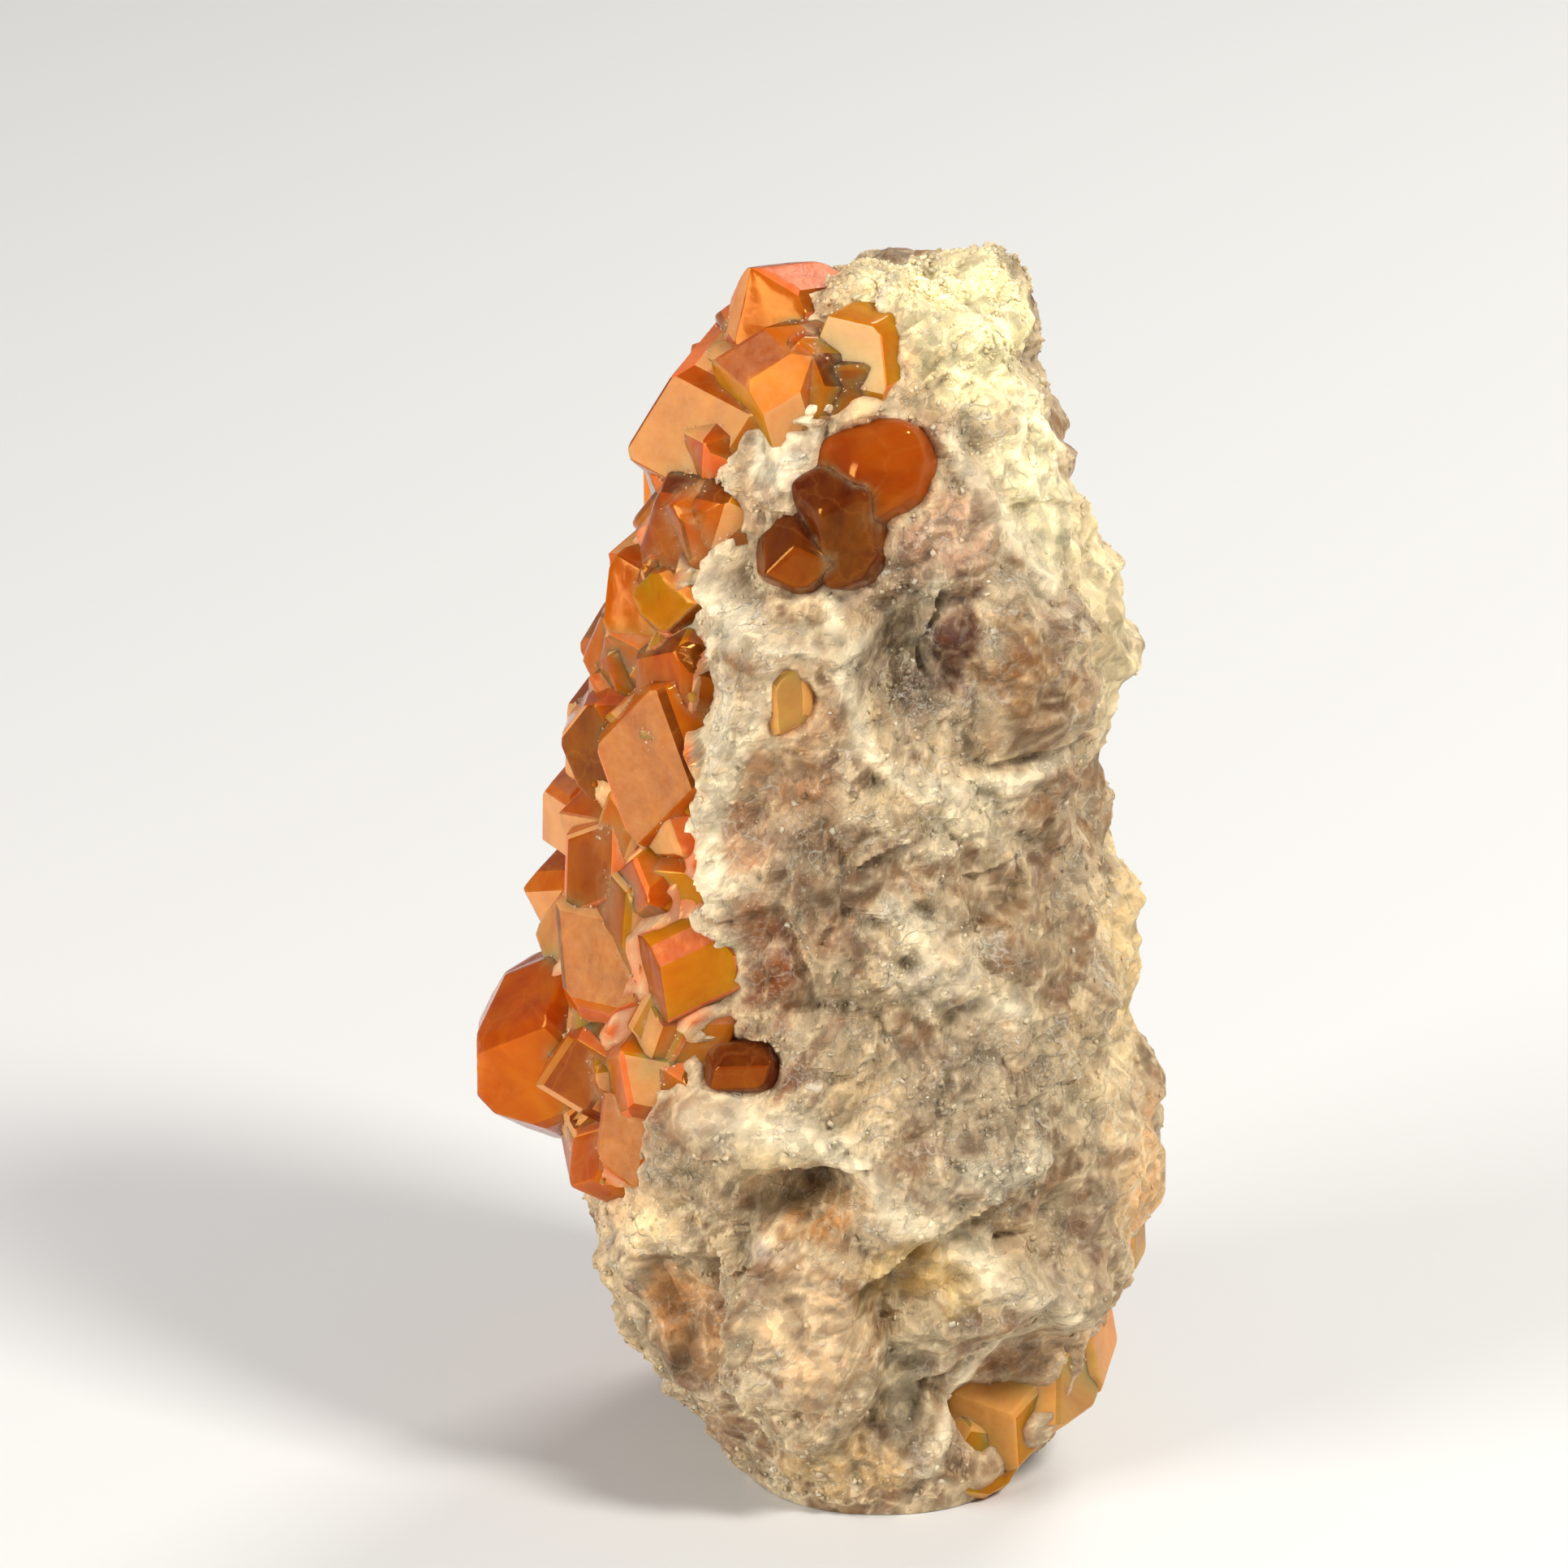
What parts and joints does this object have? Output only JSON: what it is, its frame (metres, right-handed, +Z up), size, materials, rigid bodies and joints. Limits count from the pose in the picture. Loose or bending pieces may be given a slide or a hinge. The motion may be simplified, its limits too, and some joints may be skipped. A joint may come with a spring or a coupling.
{
  "type": "mineral specimen",
  "caption": "Spessartine garnet specimen: pale rough rock standing upright, with orange garnet crystals over its left side and back.",
  "frame": {"origin": "middle of the specimen's bounding box, on the surface it stands on", "axes": "+Z up, along the specimen's length; the broad pale rock face looks along -Y and the garnets are on the -X side and the +Y back"},
  "size_m": [0.0191, 0.0173, 0.0345],
  "materials": {
    "rock": "rough",
    "garnet_crust": "glossy",
    "garnet_dark": "glossy",
    "garnet_pale": "glossy"
  },
  "bodies": {
    "root": {"matrix": "rock", "garnet_crust": "garnet_crust", "edge_garnets": "garnet_crust", "pocket_garnets": "garnet_dark", "inlaid_garnet_upper": "garnet_pale", "inlaid_garnet_lower": "garnet_dark", "rim_garnet": "garnet_crust"}
  },
  "joints": []
}
